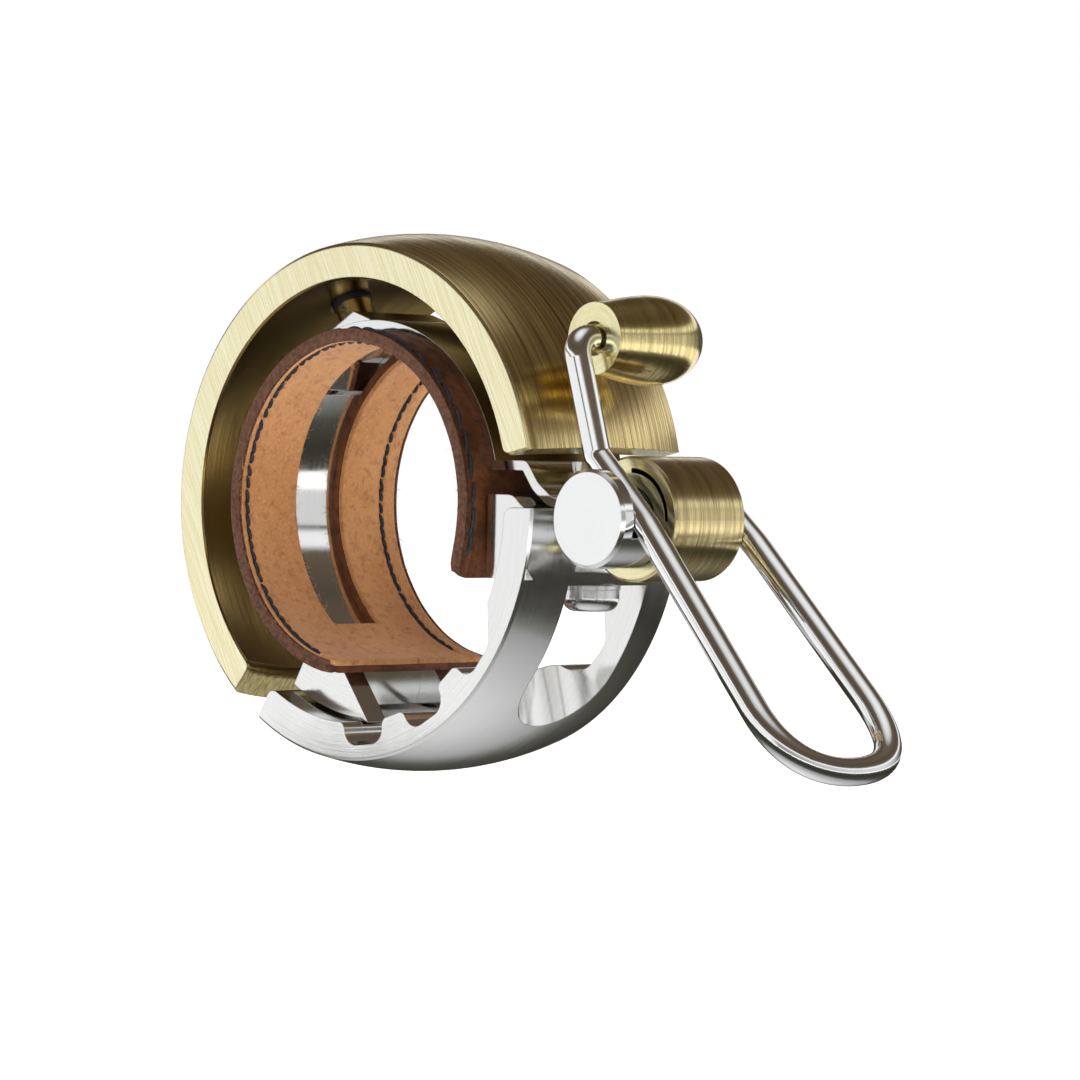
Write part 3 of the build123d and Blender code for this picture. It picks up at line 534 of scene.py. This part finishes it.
def band_mesh(name, radius, thickness, half, corner, groove_rows, groove_side, groove_depth,
              slot_margin, rim, ripple, lip=0.0):
    """Slotted band with sunk stitch lines, walled, its rims rounded over.  A lip is turned
    inward along both long edges."""
    edge_low, edge_high = -flap_length, band_length
    rows = spread(edge_low, slot_low, 0.5 * millimetre)
    rows += spread(slot_low, slot_high, 0.5 * millimetre)[1:]
    rows += spread(slot_high, edge_high, 0.5 * millimetre)[1:]
    gap = slot_half + slot_margin
    columns = {-half, -gap, gap, half}
    columns.update(spread(-half, -gap, 0.5 * millimetre))
    columns.update(spread(-gap, gap, 0.6 * millimetre))
    columns.update(spread(gap, half, 0.5 * millimetre))
    kept = [c for c in sorted(columns)
            if all(abs(c - row) > groove_half * 1.3 for row in groove_rows)]
    for row in groove_rows:
        kept += [row - groove_half, row - groove_half / 2, row, row + groove_half / 2,
                 row + groove_half]
    if lip:
        kept += [-half + lip_width * 0.98, -half + lip_width * 1.02,
                 half - lip_width * 1.02, half - lip_width * 0.98]
    kept = sorted(set(kept))
    points, index = [], {}
    short_wave, long_wave, short_cross, long_cross = 900, 410, 500, 260     # radians a metre
    for layer in (0, 1):
        for i, along in enumerate(rows):
            for j, y in enumerate(kept):
                pull = 0.0
                over = abs(y) - (half - corner)
                if over > 0:
                    pull = corner - math.sqrt(max(0.0, corner ** 2 - over ** 2))
                placed = along
                if along < edge_low + 3 * corner:
                    placed += pull * (1 - (along - edge_low) / (3 * corner))
                if along > edge_high - 3 * corner:
                    placed -= pull * (1 - (edge_high - along) / (3 * corner))
                depth = 0.0
                if layer == groove_side:
                    for row in groove_rows:
                        near = max(0.0, 1 - abs(y - row) / groove_half)
                        depth = max(depth, groove_depth * near)
                wave = ripple * math.sin(along * short_wave + y * short_cross)
                wave *= math.sin(along * long_wave - y * long_cross)
                if layer == 0:
                    turned = lip if half - abs(y) < lip_width else 0.0
                    reach = radius + depth + wave - turned
                else:
                    reach = radius + thickness - depth + wave
                index[layer, i, j] = len(points)
                points.append(on_band(reach, placed, y))
    faces = []
    row_count, column_count = len(rows), len(kept)

    def filled(i, j):
        if not (0 <= i < row_count - 1 and 0 <= j < column_count - 1):
            return False
        middle_y = (kept[j] + kept[j + 1]) / 2
        middle = (rows[i] + rows[i + 1]) / 2
        return not (abs(middle_y) < gap and slot_low < middle < slot_high)

    for i in range(row_count - 1):
        for j in range(column_count - 1):
            if not filled(i, j):
                continue
            corners = ((i, j), (i, j + 1), (i + 1, j + 1), (i + 1, j))
            faces.append([index[0, a, b] for a, b in corners])
            faces.append([index[1, a, b] for a, b in reversed(corners)])
            for k, (di, dj) in enumerate(((-1, 0), (0, 1), (1, 0), (0, -1))):
                if not filled(i + di, j + dj):
                    first, second = corners[k], corners[(k + 1) % 4]
                    faces.append([index[(0, *second)], index[(0, *first)],
                                  index[(1, *first)], index[(1, *second)]])
    used = sorted({corner_index for face_points in faces for corner_index in face_points})
    renumber = {old: new for new, old in enumerate(used)}
    mesh = bpy.data.meshes.new(name)
    mesh.from_pydata([points[k] for k in used], [],
                     [[renumber[k] for k in face_points] for face_points in faces])
    made = bpy.data.objects.new(name, mesh)
    bpy.context.collection.objects.link(made)
    mesh.shade_smooth()
    edge_round = made.modifiers.new("rims", "BEVEL")
    edge_round.width = rim
    edge_round.segments = 3
    edge_round.limit_method = "ANGLE"
    edge_round.angle_limit = math.radians(50)
    return made


leather_band = band_mesh("leather_band", leather_inner, leather_outer - leather_inner, band_half,
                         1.2 * millimetre, outside_rows[:1], 1, 0.14 * millimetre,
                         0.0, 0.30 * millimetre, 0.02 * millimetre,
                         lip=leather_inner - suede_inner - 0.03 * millimetre)
# the darkest brown is painted shade for the grain's creases
hide_dark, hide_pale, crease_shade = (0.105, 0.036, 0.013), (0.235, 0.085, 0.032), (0.040, 0.014, 0.006)
rubbed_dark, rubbed_pale = (0.060, 0.022, 0.010), (0.125, 0.048, 0.021)
leather, tree, shader = blank("brown_leather")
here = node(tree, "TexCoord").outputs["Object"]
along_y = node(tree, "SeparateXYZ", {0: here}).outputs["Y"]
edge = remap(tree, calc(tree, "ABSOLUTE", along_y), band_half - 0.62 * millimetre,
             band_half - 0.36 * millimetre, 0.0, 1.0)
pores = node(tree, "TexVoronoi", {"Vector": here, "Scale": 2400.0}).outputs["Distance"]
creases = noise(tree, here, 900.0, 5.0, 0.65)
patches = noise(tree, here, 130.0, 4.0)
fleck = noise(tree, here, 2600.0, 2.0)
hide = blend(tree, remap(tree, patches, 0.35, 0.68, 0.0, 1.0), hide_dark, hide_pale)
# darker where the crease noise is low, in the valleys of the bump: painted shade
hide = blend(tree, remap(tree, creases, 0.35, 0.55, 0.55, 0.0), hide, crease_shade)
rubbed = blend(tree, remap(tree, fleck, 0.35, 0.65, 0.0, 1.0), rubbed_dark, rubbed_pale)
tree.links.new(blend(tree, edge, hide, rubbed), shader.inputs["Base Color"])
tree.links.new(remap(tree, creases, 0.3, 0.7, 0.62, 0.42), shader.inputs["Roughness"])
shader.inputs["Specular IOR Level"].default_value = 0.32
height = calc(tree, "ADD", calc(tree, "MULTIPLY", creases, 0.7),
              calc(tree, "MULTIPLY", pores, 0.5))
engrave(tree, shader, height, 0.10 * millimetre, 0.7)
leather_band.data.materials.append(leather)
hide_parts("outer_leather")
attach(leather_band, "upper_half")

# ---------------------------------------------------------------- suede lining
# Split hide with its nap inward against the bar, cut a little narrower than the leather so
# that its raw tan edge butts against the leather's turned lip.
suede_setback = lip_width + 0.03 * millimetre
suede_band = band_mesh("suede_band", suede_inner, leather_inner - suede_inner + 0.02 * millimetre,
                       band_half - suede_setback, 1.0 * millimetre, inside_rows, 0,
                       0.22 * millimetre, 0.12 * millimetre, 0.12 * millimetre,
                       0.02 * millimetre)
tan_deep, tan_pale = (0.59, 0.280, 0.100), (0.72, 0.370, 0.150)
tan_worn, tan_nap = (0.36, 0.125, 0.040), (0.78, 0.47, 0.24)
suede, tree, shader = blank("tan_suede")
here = node(tree, "TexCoord").outputs["Object"]
nap = noise(tree, here, 3200.0, 4.0, 0.7)
brushed = noise(tree, here, 1100.0, 5.0, 0.75)
dye = noise(tree, here, 90.0, 3.0)
tan = blend(tree, remap(tree, dye, 0.35, 0.65, 0.0, 1.0), tan_deep, tan_pale)
tan = blend(tree, remap(tree, brushed, 0.50, 0.68, 0.0, 0.75), tan, tan_worn)
tan = blend(tree, remap(tree, nap, 0.52, 0.68, 0.0, 0.60), tan, tan_nap)
tree.links.new(tan, shader.inputs["Base Color"])
tree.links.new(remap(tree, nap, 0.3, 0.7, 0.82, 0.97), shader.inputs["Roughness"])
shader.inputs["Specular IOR Level"].default_value = 0.15
shader.inputs["Sheen Weight"].default_value = 0.25
shader.inputs["Sheen Roughness"].default_value = 0.5
engrave(tree, shader, calc(tree, "ADD", nap, brushed), 0.16 * millimetre, 1.0)
suede_band.data.materials.append(suede)
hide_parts("suede_lining")
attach(suede_band, "upper_half")

# ---------------------------------------------------------------- stitching
# Waxed navy thread, sewn right through both hides near each long edge.  The stitches lie
# sunk in their grooves, each a little askew, short on the suede side and long on the leather.
thread, tree, shader = blank("waxed_thread")
here = node(tree, "TexCoord").outputs["Object"]
twist = noise(tree, here, 4200.0, 3.0, 0.7)
tree.links.new(blend(tree, remap(tree, twist, 0.35, 0.7, 0.0, 1.0), (0.006, 0.008, 0.012),
                     (0.050, 0.060, 0.080)), shader.inputs["Base Color"])
tree.links.new(remap(tree, twist, 0.3, 0.7, 0.50, 0.75), shader.inputs["Roughness"])
engrave(tree, shader, twist, 0.05 * millimetre)


def sew(name, radius, row, start, end, pitch, length, thick, skew, bulge):
    """Row of separate stitches along the band; each dives into the hide at both ends."""
    thread_curve = bpy.data.curves.new(name, "CURVE")
    thread_curve.dimensions = "3D"
    thread_curve.bevel_depth = thick
    thread_curve.bevel_resolution = 2
    thread_curve.resolution_u = 4
    thread_curve.use_fill_caps = True
    count = int((end - start) / pitch)
    for k in range(count):
        begin = start + k * pitch + random.uniform(-0.10, 0.10) * pitch
        long = length * random.uniform(0.82, 1.08)
        lean = skew * random.uniform(0.6, 1.4)
        line = thread_curve.splines.new("NURBS")
        line.points.add(4)
        for point, (share, lift) in zip(line.points, (
                (0.0, -1.0), (0.08, 0.1), (0.5, 1.0), (0.92, 0.1), (1.0, -1.0))):
            spot = on_band(radius + bulge * lift, begin + share * long,
                           row + lean * (share - 0.5) + random.uniform(-0.1, 0.1) * thick)
            point.co = (*spot, 1.0)
            point.radius = random.uniform(0.88, 1.08)
        line.order_u = 3
        line.use_endpoint_u = True
    made = bpy.data.objects.new(name, thread_curve)
    bpy.context.collection.objects.link(made)
    thread_curve.materials.append(thread)
    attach(made, "upper_half")


row_start, row_end = 2.0 * millimetre - flap_length, band_length - 2.0 * millimetre
inner_stitch = dict(pitch=1.30 * millimetre, length=1.12 * millimetre, thick=0.20 * millimetre,
                    skew=0.30 * millimetre, bulge=-0.12 * millimetre)
for name, row in zip(("stitches_inside_front", "stitches_inside_rear"), inside_rows):
    sew(name, suede_inner + 0.06 * millimetre, row, row_start, row_end, **inner_stitch)
outer_stitch = dict(pitch=2.5 * millimetre, length=2.55 * millimetre, thick=0.19 * millimetre,
                    skew=0.40 * millimetre, bulge=0.12 * millimetre)
for name, row in zip(("stitches_outside_front", "stitches_outside_rear"), outside_rows):
    sew(name, leather_outer - 0.02 * millimetre, row, row_start, row_end, **outer_stitch)

# ---------------------------------------------------------------- loose fibres
# Fluff that the knife leaves along the suede's cut edges.
fluff, tree, shader = blank("suede_fluff")
here = node(tree, "TexCoord").outputs["Object"]
tree.links.new(blend(tree, noise(tree, here, 1200.0), (0.55, 0.28, 0.12), (0.80, 0.50, 0.27)),
               shader.inputs["Base Color"])
shader.inputs["Roughness"].default_value = 0.9
fibre_curve = bpy.data.curves.new("suede_fibres", "CURVE")
fibre_curve.dimensions = "3D"
fibre_curve.bevel_depth = 0.018 * millimetre
fibre_curve.bevel_resolution = 0
fibre_curve.resolution_u = 3
suede_half = band_half - suede_setback
slot_edge = slot_half + 0.12 * millimetre
# edge, way out of it, stretch of the band, hairs
fibre_edges = ((-suede_half, -1, 0, band_length, 210), (suede_half, 1, 0, band_length, 150),
               (-slot_edge, 1, slot_low, slot_high, 130), (slot_edge, -1, slot_low, slot_high, 130))
for edge_y, way, low, high, count in fibre_edges:
    for _ in range(count):
        start_along = random.uniform(low, high)
        reach = random.uniform(0.25, 0.95) * millimetre
        wander = random.uniform(-1, 1) * reach
        rise = random.uniform(-0.1, 0.9) * reach
        hair = fibre_curve.splines.new("NURBS")
        hair.points.add(3)
        for k, point in enumerate(hair.points):
            share = k / 3
            spot = on_band(suede_inner + 0.1 * millimetre - rise * share ** 1.5,
                           start_along + wander * share ** 2,
                           edge_y + way * reach * 0.45 * math.sin(share * 2.2))
            point.co = (*spot, 1.0)
            point.radius = 1.0 - 0.6 * share
        hair.order_u = 3
        hair.use_endpoint_u = True
fibres = bpy.data.objects.new("suede_fibres", fibre_curve)
bpy.context.collection.objects.link(fibres)
fibre_curve.materials.append(fluff)
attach(fibres, "upper_half")
